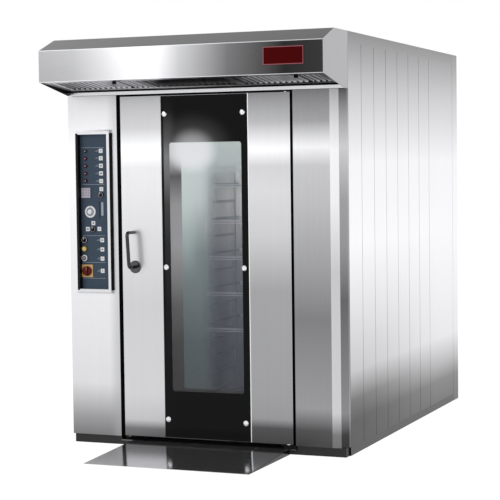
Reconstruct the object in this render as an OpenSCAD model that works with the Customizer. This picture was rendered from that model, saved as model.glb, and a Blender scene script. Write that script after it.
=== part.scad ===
// Rotating rack oven, free standing, with an inset full-height glazed door,
// a front extraction hood, a control panel in the left post and a loading ramp.
// Millimetres. +Z is up, +Y runs from the door to the back and X is across,
// with the control panel on the -X side. The origin is on the floor, under the
// middle of the outline. Inside the modules y = 0 is the front of the posts.

/* [Cabinet] */
// Overall width across the side panels
cab_w = 1668; // [1560:2:1900]
// Depth from the front of the posts to the back
cab_d = 2343; // [2300:1:2600]
// Height of the roof edge above the floor
cab_h = 2300; // [2290:1:2500]
// Thickness of the casing sheet
sheet = 2; // [1.5:0.5:3]
// Depth of the folds round each casing panel
fold = 22; // [18:1:30]
// Thickness of the mineral wool slabs
wool = 100; // [80:5:110]
// Side of the square frame tubes
tube = 40; // [30:5:50]

/* [Front posts] */
// Width of the left post, which holds the controls
left_post_w = 309; // [290:1:330]
// Height of the top of the posts
post_h = 1990; // [1970:1:2010]
// Dark gap between the left post and the door
left_gap = 25; // [15:1:30]
// Dark gap between the door and the right post
right_gap = 16; // [12:1:20]
// Height of the dark toe strip under the posts
toe_h = 50; // [30:1:70]
// Width of the first bevel of the corner trim
bevel_w = 49; // [35:1:60]
// Width of the second bevel of the corner trim
corner_w = 34; // [25:1:45]
// Depth of the flange that turns round the corner
flange_d = 66; // [50:1:80]
// Height of the bright band over the door
head_h = 18; // [12:1:24]

/* [Side and rear panels] */
// Distance of the first seam behind the post fronts
first_seam = 295; // [250:1:330]
// Distance from seam to seam
seam_pitch = 226.5; // [200:0.5:240]
// Number of narrow panels behind the first seam
narrow_panels = 6; // [4:1:6]
// Open joint between two panels
seam_gap = 4; // [3:0.5:6]
// Height of the rail along the roof edge
rail_h = 60; // [40:1:80]
// Height of the rail along the floor
foot_rail_h = 45; // [30:1:60]
// Width of the rear corner posts along the side
rear_post_w = 123; // [100:1:150]
// Pitch of the slots in the rear panels
vent_pitch = 26; // [20:1:40]
// Number of slots in each block of the rear panels
vent_count = 10; // [6:1:14]

/* [Door] */
// Width of the door
door_w = 1024; // [980:1:1060]
// Height of the door
door_h = 1924; // [1900:1:1930]
// Thickness of the door
door_t = 130; // [110:1:140]
// Gap under the door
door_lift = 26; // [22:1:30]
// Width of the steel stile on the handle side
stile_w = 252; // [230:1:280]
// Width of the dark glass
glass_w = 523; // [500:1:540]
// Thickness of the panes
glass_t = 6; // [4:1:8]
// Width of the clear window
window_w = 434; // [400:1:450]
// Height of the clear window
window_h = 1395; // [1200:1:1400]
// Distance of the window from the handle edge of the glass
window_inset = 51; // [35:1:60]
// Height of the window's lower edge above the floor
window_z = 322; // [300:1:400]
// Radius of the window's corners
window_r = 12; // [6:1:30]
// Distance of the hinge axis from the door's right edge
hinge_inset = 30; // [24:1:34]
// Distance of the hinge axis behind the door's face
hinge_back = 15; // [14:1:18]
// Radius of the hinge pins
pin_r = 8; // [6:0.5:9]
// Radial clearance of the pins and spindles in their bores
run = 0.05; // [0.02:0.01:0.08]
// Thickness of the door seal
seal_t = 12; // [8:1:16]
// Width of the door seal
seal_w = 16; // [12:1:20]
// Radius of the heads that hold the glass
stud_r = 15; // [12:1:18]

/* [Handle] */
// Distance of the handle spindle from the door's left edge
handle_in = 80; // [78:1:90]
// Height of the spindle above the floor
handle_z = 1019; // [950:1:1100]
// Height of the grip above the spindle
grip_h = 196; // [150:1:220]
// Distance of the grip's centre from the door
grip_out = 80; // [60:1:90]
// Lean of the lever away from the hinges, in degrees
lever_lean = 3; // [0:0.5:6]
// Radius of the handle bar
grip_r = 10; // [8:0.5:12]
// Radius of the round plate under the handle
rose_r = 36; // [30:1:40]
// Length of the latch tongue from the spindle
tongue_l = 70; // [60:1:76]

/* [Baking chamber] */
// Height of the chamber floor
pan_z = 30; // [26:1:36]
// Thickness of the floor pan
pan_t = 6; // [4:1:10]
// Height of the chamber ceiling
ceiling_z = 1925; // [1915:1:1935]
// Height of the underside of the roof deck
deck_z = 2055; // [2050:1:2065]
// Thickness of the roof deck
deck_t = 3; // [2:1:4]
// Clear gap between the turning rack and the chamber
turn_gap = 26; // [20:1:34]
// Depth of the door frame between stop and chamber
jamb_d = 20; // [16:1:24]
// Length of the louvred part of the side walls
louvre_l = 440; // [360:10:480]
// Pitch of the louvre blades
louvre_pitch = 112; // [100:2:140]
// Height of the chamber lamp's lower end
lamp_z = 1240; // [1200:10:1400]
// Length of the chamber lamp
lamp_l = 400; // [300:10:450]

/* [Rack] */
// Width of the rack across the tray runners
rack_w = 650; // [600:10:680]
// Depth of the rack
rack_d = 860; // [800:10:880]
// Side of the rack's square tubes
rack_tube = 25; // [20:1:30]
// Height of the lowest tray level
level_z = 225; // [215:1:235]
// Distance from one tray level to the next
level_pitch = 103.75; // [100:0.25:104]
// Number of tray levels
levels = 15; // [10:1:15]
// First level with cross ties
tie_from = 4; // [2:1:6]
// Height of the cross ties and runners
tie_h = 18; // [14:1:22]
// Width of the seat of a tray runner
runner_w = 30; // [22:1:36]
// Height of the hanging wheels above the chamber floor
wheel_lift = 12; // [8:1:16]
// Radius of the wheels
wheel_r = 50; // [40:1:52]
// Width of the wheels
wheel_w = 30; // [24:1:34]
// Trail of the swivelling castors
trail = 28; // [20:1:32]

/* [Rack drive] */
// Radius of the rack shaft
shaft_r = 20; // [16:1:22]
// Distance between the motor's shaft and the rack's
drive_l = 355; // [340:5:380]
// Outer radius of both pulleys
pulley_r = 95; // [80:5:98]
// Number of belts side by side
belts = 3; // [2:1:3]
// Width of a belt's back
belt_w = 17; // [13:1:18]
// Thickness of a belt
belt_t = 11; // [8:1:12]
// Height of the belts above the roof deck
belt_up = 140; // [136:1:150]

/* [Air circulation] */
// Radius of the fan wheel
fan_r = 270; // [220:5:300]
// Height of the fan blades
fan_h = 150; // [110:5:170]
// Number of fan blades
blades = 9; // [7:1:12]
// Radius of the fan inlet
inlet_r = 150; // [120:5:170]
// Number of heating hairpins across the chamber
hairpins = 10; // [6:1:12]
// Length of the heating hairpins
hairpin_l = 1150; // [900:10:1250]
// Radius of the heating tubes
heater_r = 8; // [6:0.5:10]

/* [Hood] */
// Reach of the hood in front of the posts
hood_out = 327; // [280:1:360]
// Height of the lower edge of the hood's face
hood_low = 2056; // [2045:1:2070]
// Height of the upper edge of the hood's face
hood_top = 2231; // [2210:1:2260]
// Reach of the flat roof edge over the hood
hood_roof = 150; // [120:1:180]
// Width of the rim round the filters
rim = 40; // [30:1:50]
// Number of filters
filters = 3; // [2:1:4]
// Distance from slat to slat in a filter
slat_pitch = 33; // [28:1:40]
// Width of the sign plate
sign_w = 225; // [200:1:240]
// Height of the sign plate
sign_h = 94; // [80:1:110]

/* [Control panel] */
// Width of the panel frame
panel_w = 236; // [226:1:246]
// Height of the panel frame
panel_h = 934; // [920:1:950]
// Height of the lower edge of the frame
panel_z = 864; // [850:1:880]
// Distance of the frame from the cabinet's left side
panel_in = 45; // [40:1:50]
// Width of the frame's bars
panel_bar = 24; // [20:1:26]
// Reach of the frame in front of the post
panel_out = 25; // [18:1:30]
// Depth of the board behind the post's face
board_back = 8; // [6:1:12]
// Radius of the selector knobs
small_r = 16; // [11:1:16]
// Radius of the push buttons' rings
button_r = 18; // [14:1:18]
// Radius of the timer dial
dial_r = 34; // [30:1:36]

/* [Steam vent] */
// Outer radius of the vent stack
stack_r = 100; // [80:1:110]
// Height of the vent stack above the roof deck
stack_h = 130; // [100:1:160]

/* [Ramp] */
// Width of the ramp
ramp_w = 955; // [900:1:980]
// Length of the ramp
ramp_l = 600; // [500:5:640]

/* [Hidden] */
$fn = 48;
touch = 0.3;
weld = 0.05;
half_w = cab_w / 2;
core_x = half_w - fold;
duct_x = core_x - wool;
mid_y = (cab_d - ramp_l) / 2;

// door and doorway
door_x0 = -half_w + left_post_w + left_gap;
door_x1 = door_x0 + door_w;
left_post_x1 = -half_w + left_post_w;
right_post_x0 = door_x1 + right_gap;
cx = (door_x0 + door_x1) / 2;
door_z0 = pan_z + door_lift;
door_z1 = door_z0 + door_h;
glass_x0 = door_x0 + stile_w;
glass_x1 = glass_x0 + glass_w;
window_x0 = glass_x0 + window_inset;
window_x1 = window_x0 + window_w;
window_z1 = window_z + window_h;
hinge_x = door_x1 - hinge_inset;
stop_y = door_t + seal_t;
chamber_y0 = stop_y + jamb_d;
stop_x0 = door_x0 + 34;
stop_x1 = hinge_x - 28;
handle_x = door_x0 + handle_in;
spindle_r = 7;
rose_t = 8;
tongue_t = 8;
bend_r = 20;
hinge_gap = 4;
glass_back = glass_t - 1;
pane_y = door_t - 10 - glass_t;
studs = [for (x = [window_x0 - 28, window_x1 + 10], z = [160, 1020, 1878]) [x, z]];

// chamber and rack
rack_r = norm([rack_w, rack_d]) / 2;
rack_y = chamber_y0 + turn_gap + 12 + rack_r;
chamber_x0 = cx - rack_r - turn_gap;
chamber_x1 = cx + rack_r + turn_gap;
chamber_y1 = rack_y + rack_r + turn_gap + 24;
core_y1 = cab_d - rear_post_w + 1;
duct_y1 = core_y1 - wool;
deck_top = deck_z + deck_t;
rack_x0 = cx - rack_w / 2;
rack_x1 = cx + rack_w / 2;
rack_y0 = rack_y - rack_d / 2;
rack_y1 = rack_y + rack_d / 2;
wheel_z = pan_z + wheel_lift + wheel_r;
plate_t = 6;
plate_w = 90;
axle_r = 6;
cheek = wheel_w / 2 + 5;
rear_axle_y = rack_y1 - plate_w / 2;
front_axle_y = rack_y0 + plate_w / 2 + trail;
base_z = wheel_z + wheel_r + 18 + plate_t;
rack_top = level_z + levels * level_pitch + tie_h + 2;
cross_z = rack_top + rack_tube;
bar_t = 20;
hook_t = 12;
beam_z = cross_z + bar_t + 20;
beam_t = 15;
hub_z = beam_z + beam_t;
hook_y = 150;

// belt drive
belt_z = deck_top + belt_up;
belt_pitch = belt_w + 3;
flank = tan(18);
pulley_h = belts * belt_pitch + 4;
groove_t = belt_t + 1;
rim_in = pulley_r - groove_t - 8;
boss_r = shaft_r + 14;

// rear plenum
fan_y = (chamber_y1 + duct_y1) / 2;
fan_z = ceiling_z - fan_h - 75;
fan_plate_z = fan_z - 25;
fan_shaft_r = 14;
vent_x = cx + 380;
vent_collar = 40;
flap_up = 20;

// hood
hood_back = flange_d;
head_z = post_h + 2;
hood_tilt = atan2(hood_low - head_z - head_h - 8, hood_out);
hood_len = hood_out / cos(hood_tilt);
filter_w = (cab_w - 2 * rim) / filters;
rim_z = head_z + head_h + 8;

// control board
panel_x0 = -half_w + panel_in;
panel_x1 = panel_x0 + panel_w;
board_x0 = panel_x0 + panel_bar;
board_x1 = panel_x1 - panel_bar;
board_z0 = panel_z + panel_bar;
board_z1 = panel_z + panel_h - panel_bar;
board_t = 3;
lamp_col = board_x0 + 36;
button_col = board_x0 + 21;
right_col = board_x1 - 58;
switch_t = 4;

// ---------- shared shapes ----------

// Everything is drawn from the front of the posts and moved back as one.
module from_front() {
    translate([0, -mid_y, 0]) children();
}

// A box from its limits along each axis
module span(x, y, z) {
    translate([x[0], y[0], z[0]]) cube([x[1] - x[0], y[1] - y[0], z[1] - z[0]]);
}

// A bar or slab that stays a solid of its own beside its neighbours: the
// joint of one weld is taken off each of its sides
module piece(x, y, z) {
    span([x[0] + weld, x[1] - weld], [y[0] + weld, y[1] - weld], [z[0] + weld, z[1] - weld]);
}

// Offsets of an open outline by t to its left, mitred at each bend
function unit(v) = v / norm(v);
function left_of(a, b) = let (d = unit(b - a)) [-d[1], d[0]];
function mitre(p, i, t) =
    i == 0 ? p[0] + t * left_of(p[0], p[1]) :
    i == len(p) - 1 ? p[i] + t * left_of(p[i - 1], p[i]) :
    let (n = left_of(p[i - 1], p[i]), m = left_of(p[i], p[i + 1])) p[i] + t * (n + m) / (1 + n * m);
function ribbon(p, t) = concat(p, [for (i = [len(p) - 1:-1:0]) mitre(p, i, t)]);

// Folded sheet with outline p, standing from z0 to z1
module folded(p, z0, z1, t = sheet) {
    translate([0, 0, z0]) linear_extrude(z1 - z0) polygon(ribbon(p, t));
}

// An outline in the y-z plane, drawn out along x
module across(x0, x1) {
    translate([x0, 0, 0]) rotate([90, 0, 90]) linear_extrude(x1 - x0) children();
}

// A round bar along y between two depths
module bar_y(x, z, r, y0, y1) {
    translate([x, y0, z]) rotate([-90, 0, 0]) cylinder(r = r, h = y1 - y0);
}

// A round bar upwards between two heights
module bar_z(x, y, r, z0, z1) {
    translate([x, y, z0]) cylinder(r = r, h = z1 - z0);
}

// Both sides of the cabinet
module both_sides() {
    children();
    mirror([1, 0, 0]) children();
}

// A rectangle with round corners
module rounded(w, h, r) {
    translate([r, 0]) square([w - 2 * r, h]);
    translate([0, r]) square([w, h - 2 * r]);
    for (x = [r, w - r], y = [r, h - r])
        translate([x, y]) circle(r);
}

// ---------- cabinet ----------

// Welded skeleton: floor ring, uprights and roof ring
module frame() color("dimgray") from_front() {
    z1 = pan_z - pan_t;
    y = [70, core_y1];
    w = 1.5 * tube;
    span([-core_x, core_x], [y[0], y[0] + w], [0, z1]);
    span([-core_x, core_x], [y[1] - w, y[1]], [0, z1]);
    for (x = [-core_x, cx - w / 2, core_x - w])
        span([x, x + w], [y[0] + w + weld, y[1] - w - weld], [0, z1]);
    for (x = [-core_x, core_x - tube], at = [y[0], y[1] - tube])
        span([x, x + tube], [at, at + tube], [z1 + weld, deck_z]);
    for (x = [-core_x, core_x - tube])
        span([x, x + tube], [y[0] + tube + weld, y[1] - tube - weld], [deck_z - tube, deck_z]);
    for (at = [y[0], y[1] - tube])
        span([-core_x + tube + weld, core_x - tube - weld], [at, at + tube], [deck_z - tube, deck_z]);
}

// Chamber floor, which runs out under the door as its sill
module floor_pan() color("silver") from_front() {
    span([-core_x + tube, core_x - tube], [chamber_y0, duct_y1], [pan_z - pan_t, pan_z]);
    span([left_post_x1, right_post_x0], [0, chamber_y0], [pan_z - pan_t, pan_z]);
}

// Dark toe strips, set back under the posts
module plinth() color("black") from_front() {
    y = [10, flange_d];
    piece([-half_w + 8, left_post_x1 - 2], y, [0, toe_h]);
    piece([right_post_x0 + 2, half_w - 8], y, [0, toe_h]);
    piece([left_post_x1 - 2, right_post_x0 + 2], y, [0, pan_z - pan_t]);
}

// Loading ramp: a plate folded down at the front, on wedge ribs
module ramp() color("silver") from_front() {
    x0 = cx + 14 - ramp_w / 2;
    t = 3;
    across(x0, x0 + ramp_w) polygon([[0, pan_z], [0, pan_z - t], [-ramp_l + 40, 0], [-ramp_l, 0], [-ramp_l, 2]]);
    for (i = [0:4])
        across(x0 + i * (ramp_w - t) / 4, x0 + t + i * (ramp_w - t) / 4)
            polygon([[0, pan_z - t], [0, 0], [-ramp_l + 40, 0]]);
}

// Left post: folded casing with an opening for the control panel
module left_post() color("gainsboro") from_front() {
    p = [[left_post_x1, stop_y], [left_post_x1, 0], [-half_w, 0], [-half_w, flange_d], [-core_x, flange_d]];
    difference() {
        mirror([1, 0, 0]) folded([for (q = p) [-q[0], q[1]]], toe_h, post_h);
        span([board_x0, board_x1], [-1, sheet + 1], [board_z0, board_z1]);
    }
}

// Right post: folded casing with a two-step bevelled corner
module right_post() color("gainsboro") from_front() {
    p = [[right_post_x0, stop_y], [right_post_x0, 0], [half_w - corner_w - bevel_w, 0],
        [half_w - corner_w, bevel_w / 6], [half_w, corner_w + bevel_w / 6], [half_w, flange_d], [core_x, flange_d]];
    folded(p, toe_h, post_h);
}

// Bright band over the door, on the beam that carries the hood
module door_head() color("whitesmoke") from_front() {
    span([-half_w + sheet, half_w - sheet], [0, sheet], [head_z, head_z + head_h]);
    span([-half_w + 4, half_w - 4], [sheet, flange_d], [head_z, deck_z - tube]);
    span([left_post_x1, right_post_x0], [flange_d, stop_y], [head_z, head_z + head_h]);
}

// Folded casing panels along one side
module side_panels() {
    z0 = foot_rail_h;
    z1 = cab_h - rail_h;
    last = first_seam + narrow_panels * seam_pitch;
    seams = concat([flange_d], [for (i = [0:narrow_panels]) first_seam + i * seam_pitch], [cab_d - rear_post_w]);
    for (i = [0:len(seams) - 2])
        folded([[core_x, seams[i] + seam_gap / 2], [half_w, seams[i] + seam_gap / 2],
            [half_w, seams[i + 1] - seam_gap / 2], [core_x, seams[i + 1] - seam_gap / 2]], z0, z1);
}

module right_side_panels() color("silver") from_front() side_panels();

module left_side_panels() color("silver") from_front() mirror([1, 0, 0]) side_panels();

// Rails along the roof edge and the floor, on both sides and the back
module edge_rails() color("darkgray") from_front() {
    y1 = cab_d - rear_post_w;
    both_sides() {
        translate([0, y1, 0]) rotate([90, 0, 0]) linear_extrude(y1 - flange_d)
            polygon(ribbon([[core_x, cab_h - rail_h], [half_w, cab_h - rail_h], [half_w, cab_h],
                [core_x - 14, cab_h], [core_x - 14, cab_h - 20]], sheet));
        translate([0, y1, 0]) rotate([90, 0, 0]) linear_extrude(y1 - flange_d)
            polygon(ribbon([[core_x, 0], [half_w, 0], [half_w, foot_rail_h], [core_x, foot_rail_h]], sheet));
    }
    across(-half_w + rear_post_w, half_w - rear_post_w)
        polygon(ribbon([[cab_d - fold, cab_h - rail_h], [cab_d, cab_h - rail_h], [cab_d, cab_h],
            [cab_d - fold - 14, cab_h], [cab_d - fold - 14, cab_h - 20]], sheet));
    across(-half_w + rear_post_w, half_w - rear_post_w)
        polygon(ribbon([[cab_d - fold, 0], [cab_d, 0], [cab_d, foot_rail_h], [cab_d - fold, foot_rail_h]], sheet));
}

// Rear casing: corner posts and three panels, the middle one with slots
module rear_casing() color("silver") from_front() {
    w = 2 * (half_w - rear_post_w) / 3;
    z0 = foot_rail_h;
    z1 = cab_h - rail_h;
    both_sides() folded([[core_x - tube, core_y1], [half_w, core_y1], [half_w, cab_d],
        [half_w - rear_post_w + 1, cab_d], [half_w - rear_post_w + 1, cab_d - fold]], 0, cab_h);
    for (i = [-1:1]) {
        x0 = i * w - w / 2 + seam_gap / 2;
        x1 = i * w + w / 2 - seam_gap / 2;
        difference() {
            folded([[x1, cab_d - fold], [x1, cab_d], [x0, cab_d], [x0, cab_d - fold]], z0, z1);
            if (i == 0)
                for (z = [z0 + 120, z1 - 380], k = [0:vent_count - 1])
                    translate([x0 + 60, cab_d + 1, z + k * vent_pitch]) rotate([90, 0, 0])
                        linear_extrude(sheet + 2) rounded(x1 - x0 - 120, 8, 3.9);
        }
        piece([i * w - 15, i * w + 15], [core_y1, cab_d - sheet], [1200, 1260]);
    }
}

// Roof deck that carries the drives, with the shafts' and the vent's holes
module roof_deck() color("darkgray") from_front() {
    difference() {
        span([-core_x, core_x], [70, core_y1], [deck_z, deck_top]);
        bar_z(cx, rack_y, shaft_r + 5, deck_z - 1, deck_top + 1);
        bar_z(0, fan_y, fan_shaft_r + 5, deck_z - 1, deck_top + 1);
        bar_z(vent_x, rack_y, stack_r, deck_z - 1, deck_top + 1);
    }
}

// Mineral wool slabs round the chamber and behind the posts
module insulation() color("khaki") from_front() {
    z = [pan_z, ceiling_z + deck_t];
    both_sides() piece([duct_x, core_x], [stop_y, core_y1 - tube], z);
    piece([-duct_x, duct_x], [duct_y1, core_y1], z);
    piece([-core_x + tube, left_post_x1 - sheet], [70, stop_y], [pan_z, head_z]);
    piece([right_post_x0 + sheet, core_x - tube], [70, stop_y], [pan_z, head_z]);
    difference() {
        piece([-core_x + tube, core_x - tube], [stop_y + sheet, core_y1 - tube], [ceiling_z + deck_t, deck_z]);
        bar_z(cx, rack_y, shaft_r + 5, ceiling_z, deck_z + 1);
        bar_z(0, fan_y, fan_shaft_r + 5, ceiling_z, deck_z + 1);
        bar_z(vent_x, rack_y, stack_r, ceiling_z, deck_z + 1);
    }
}

// Chamber lining: door stops, side and rear walls, ceiling, and the plate
// across the rear plenum with the fan's inlet ring
module chamber_walls() color("lightgray") from_front() {
    t = sheet;
    wall_y1 = chamber_y1 - louvre_l;
    back_z = [fan_plate_z, fan_plate_z + 3];
    jamb_z = [pan_z, ceiling_z - weld];
    folded([[stop_x0, chamber_y0], [stop_x0, stop_y], [-duct_x, stop_y]], jamb_z[0], jamb_z[1], -t);
    folded([[stop_x1, chamber_y0], [stop_x1, stop_y], [duct_x, stop_y]], jamb_z[0], jamb_z[1]);
    span([-duct_x, duct_x], [stop_y, stop_y + t], [ceiling_z, head_z]);
    piece([chamber_x0 - t, chamber_x0], [stop_y + t, wall_y1], [pan_z, ceiling_z]);
    piece([chamber_x1, chamber_x1 + t], [stop_y + t, wall_y1], [pan_z, ceiling_z]);
    piece([chamber_x0 - t, chamber_x1 + t], [chamber_y1, chamber_y1 + t], [pan_z, ceiling_z]);
    difference() {
        piece([-duct_x, duct_x], [stop_y + t, duct_y1], [ceiling_z, ceiling_z + deck_t]);
        bar_z(cx, rack_y, shaft_r + 5, ceiling_z - 1, ceiling_z + deck_t + 1);
        bar_z(0, fan_y, fan_shaft_r + 5, ceiling_z - 1, ceiling_z + deck_t + 1);
        bar_z(vent_x, rack_y, stack_r, ceiling_z - 1, ceiling_z + deck_t + 1);
    }
    difference() {
        piece([-duct_x, duct_x], [chamber_y1 + t, duct_y1], back_z);
        bar_z(0, fan_y, inlet_r, back_z[0] - 1, back_z[1] + 1);
    }
    translate([0, fan_y, back_z[0]]) rotate_extrude()
        polygon(ribbon([[inlet_r - weld, 0], [inlet_r - 12, 14], [inlet_r - 15, 30]], 2));
}

// Louvred rear parts of the side walls: a tilted blade over each slot
module air_louvres() color("gray") from_front() {
    y0 = chamber_y1 - louvre_l;
    count = floor((ceiling_z - pan_z - 60) / louvre_pitch);
    for (x = [chamber_x0 - sheet, chamber_x1]) {
        for (y = [y0, chamber_y1 - 20])
            piece([x, x + sheet], [y, y + 20], [pan_z, ceiling_z]);
        for (k = [0:count - 1])
            translate([x + sheet / 2, y0 + 20 + weld, pan_z + 60 + k * louvre_pitch])
                rotate([0, x < 0 ? -18 : 18, 0]) translate([-sheet / 2, 0, 0])
                    cube([sheet, louvre_l - 40 - 2 * weld, 70]);
    }
}

// Fan wheel: back plate, curved blades, shroud ring, hub and shaft
module circulation_fan() color("slategray") from_front() translate([0, fan_y, fan_z]) {
    blade_r = 0.75 * fan_r;
    rotate_extrude() polygon([[0, fan_h], [fan_r, fan_h], [fan_r, fan_h + 4], [0, fan_h + 4]]);
    rotate_extrude() polygon(ribbon([[inlet_r, -6], [inlet_r + 6, 0], [fan_r, 0]], 3));
    for (k = [0:blades - 1])
        rotate([0, 0, k * 360 / blades]) linear_extrude(fan_h) intersection() {
            difference() {
                translate([0.52 * fan_r, -0.52 * fan_r]) circle(blade_r);
                translate([0.52 * fan_r, -0.52 * fan_r]) circle(blade_r - 4);
            }
            difference() {
                circle(fan_r - 2);
                circle(inlet_r + 8);
            }
            translate([0, -fan_r]) square([fan_r, 2 * fan_r]);
        }
    bar_z(0, 0, 45, fan_h, fan_h + 40);
    bar_z(0, 0, fan_shaft_r, fan_h + 40, deck_top - fan_z + 30);
}

// Fan motor standing on the deck: foot, ribbed body and cowl
module fan_motor() color("steelblue") from_front() translate([0, fan_y, deck_top]) difference() {
    union() {
        translate([-110, -110, 0]) cube([220, 220, 12]);
        cylinder(r = 84, h = 170);
        for (k = [0:23])
            rotate([0, 0, k * 15]) translate([80, -2, 30]) cube([18, 4, 110]);
        translate([0, 0, 150]) cylinder(r = 96, h = 26);
        translate([-30, 84, 60]) cube([60, 34, 70]);
    }
    translate([0, 0, -1]) cylinder(r = fan_shaft_r + run, h = 60);
}

// Tubular heaters: hairpins that hang from the fan plate
module heating_elements() color("saddlebrown") from_front() {
    bend = 28;
    w = 2 * duct_x - 260;
    for (row = [-1, 1], k = [0:hairpins - 1])
        translate([-w / 2 + k * w / (hairpins - 1), fan_y + row * 130, fan_plate_z - hairpin_l]) {
            for (s = [-1, 1])
                translate([0, s * bend, 0]) cylinder(r = heater_r, h = hairpin_l, $fn = 24);
            rotate([0, 90, 0]) rotate([0, 0, -90]) rotate_extrude(angle = 180, $fn = 24)
                translate([bend, 0]) circle(heater_r, $fn = 24);
        }
}

// Steam generator: a trough with rows of heavy round bars
module steam_generator() color("dimgray") from_front() {
    x0 = -340;
    y0 = fan_y - 110;
    difference() {
        span([x0, -x0], [y0, y0 + 220], [pan_z, pan_z + 150]);
        span([x0 + 6, -x0 - 6], [y0 + 6, y0 + 214], [pan_z + 6, pan_z + 151]);
    }
    for (row = [0:2], k = [0:5])
        translate([x0 + 4, y0 + 35 + k * 30, pan_z + 35 + row * 42]) rotate([0, 90, 0])
            cylinder(r = 11, h = -2 * x0 - 8);
}

// Lamp behind the left door stop: housing with a glass tube face
module chamber_lamp() color("whitesmoke") from_front() {
    x = (stop_x0 + chamber_x0) / 2;
    half = 0.3 * (stop_x0 - chamber_x0);
    r = half - 6;
    span([x - half, x + half], [stop_y + sheet, stop_y + sheet + 10], [lamp_z, lamp_z + lamp_l]);
    translate([x, stop_y + sheet + 10, lamp_z + 10]) intersection() {
        cylinder(r = r, h = lamp_l - 20);
        translate([-r, 0, 0]) cube([2 * r, r, lamp_l - 20]);
    }
}

// Steam vent through the ceiling: a collar with two ears for the flap's
// spindle, and above it the clear spigot that a duct slides over
module vent_stack() color("silver") from_front() translate([vent_x, rack_y, 0]) difference() {
    union() {
        bar_z(0, 0, stack_r, ceiling_z, deck_top + stack_h);
        bar_z(0, 0, stack_r + 4, deck_top, deck_top + vent_collar);
        bar_z(0, 0, stack_r + 20, deck_top, deck_top + 3);
        translate([0, -stack_r - 12, deck_top + flap_up]) rotate([-90, 0, 0]) cylinder(r = 12, h = 2 * stack_r + 24);
    }
    bar_z(0, 0, stack_r - 2, ceiling_z - 2, deck_top + stack_h + 1);
    translate([0, -stack_r - 13, deck_top + flap_up]) rotate([-90, 0, 0]) cylinder(r = 6 + run, h = 2 * stack_r + 26);
}

// Flap of the steam vent, closed when level, with its spindle and crank
module damper_flap() color("gray") from_front() translate([vent_x, rack_y, deck_top + flap_up]) {
    translate([0, 0, -1.5]) cylinder(r = stack_r - 5, h = 3);
    translate([0, -stack_r - 30, 0]) rotate([-90, 0, 0]) cylinder(r = 6, h = 2 * stack_r + 44);
    translate([-8, -stack_r - 30, -8]) cube([16, 6, 60]);
}

// ---------- rack drive on the roof ----------

// Gearbox with its motor, standing on the deck
module gearmotor() color("steelblue") from_front() translate([cx, rack_y + drive_l, deck_top]) difference() {
    union() {
        translate([-85, -85, 0]) cube([170, 170, 12]);
        translate([-70, -70, 12]) cube([140, 140, 84]);
        cylinder(r = 52, h = belt_up - pulley_h / 2 - 2);
        translate([70, 0, 58]) rotate([0, 90, 0]) cylinder(r = 34, h = 40);
        translate([108, 0, 58]) rotate([0, 90, 0]) cylinder(r = 52, h = 210);
        for (k = [1:6])
            translate([118 + k * 24, 0, 58]) rotate([0, 90, 0]) cylinder(r = 54, h = 6);
    }
    translate([0, 0, 20]) cylinder(r = shaft_r + run, h = belt_up);
}

// Height of the middle of belt k, from the pulleys' middle
function belt_at(k) = (k - (belts - 1) / 2) * belt_pitch;

// Half the width of a groove at a depth below the pulley's outside
function groove_half(depth) = belt_w / 2 + touch - depth * flank;

// Grooved pulley: rim with a groove for each belt, web with round holes, boss
module pulley() difference() {
    half = pulley_h / 2;
    grooves = [for (k = [0:belts - 1], q = [[0, -1], [groove_t, -1], [groove_t, 1], [0, 1]])
        [pulley_r - q[0], belt_at(k) + q[1] * groove_half(q[0])]];
    union() {
        rotate_extrude() polygon(concat([[rim_in, -half], [pulley_r, -half]], grooves,
            [[pulley_r, half], [rim_in, half]]));
        translate([0, 0, -6]) cylinder(r = rim_in + 1, h = 12);
        translate([0, 0, -half]) cylinder(r = boss_r, h = pulley_h);
    }
    translate([0, 0, -half - 1]) cylinder(r = shaft_r + run, h = pulley_h + 2);
    for (k = [0:4])
        rotate([0, 0, k * 72]) translate([(rim_in + boss_r) / 2, 0, -7])
            cylinder(r = (rim_in - boss_r) / 3, h = 14);
}

// Motor pulley with the gearbox's output shaft
module drive_pulley() color("dimgray") from_front() translate([cx, rack_y + drive_l, belt_z]) {
    pulley();
    translate([0, 0, -belt_up + 21]) cylinder(r = shaft_r, h = belt_up - 21 + pulley_h / 2 + 4);
    translate([0, 0, pulley_h / 2]) cylinder(r = shaft_r + 8, h = 4);
}

module rack_pulley() color("dimgray") from_front() translate([cx, rack_y, belt_z]) pulley();

// Section of a belt round the pulley's axis, with its back flush with the rim
module belt_section() {
    polygon([[pulley_r - belt_t, -belt_w / 2 + belt_t * flank], [pulley_r, -belt_w / 2],
        [pulley_r, belt_w / 2], [pulley_r - belt_t, belt_w / 2 - belt_t * flank]]);
}

// Endless belts, each a half turn round both pulleys and two straight runs
module drive_belts() color("black") from_front() translate([cx, rack_y, belt_z])
    for (k = [0:belts - 1])
        translate([0, 0, belt_at(k)]) {
            rotate([0, 0, 180]) rotate_extrude(angle = 180) belt_section();
            translate([0, drive_l, 0]) rotate_extrude(angle = 180) belt_section();
            both_sides() translate([0, drive_l - weld, 0]) rotate([90, 0, 0])
                linear_extrude(drive_l - 2 * weld) belt_section();
        }

// Flange bearing of the rack shaft
module shaft_bearing() color("darkslategray") from_front() translate([cx, rack_y, deck_top]) difference() {
    union() {
        translate([-75, -75, 0]) cube([150, 150, 14]);
        cylinder(r = 50, h = 52);
        for (a = [45:90:315])
            rotate([0, 0, a]) translate([86, 0, 0]) cylinder(r = 9, h = 22);
    }
    translate([0, 0, -1]) cylinder(r = shaft_r + run, h = 60);
}

// ---------- rotating rack ----------

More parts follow.
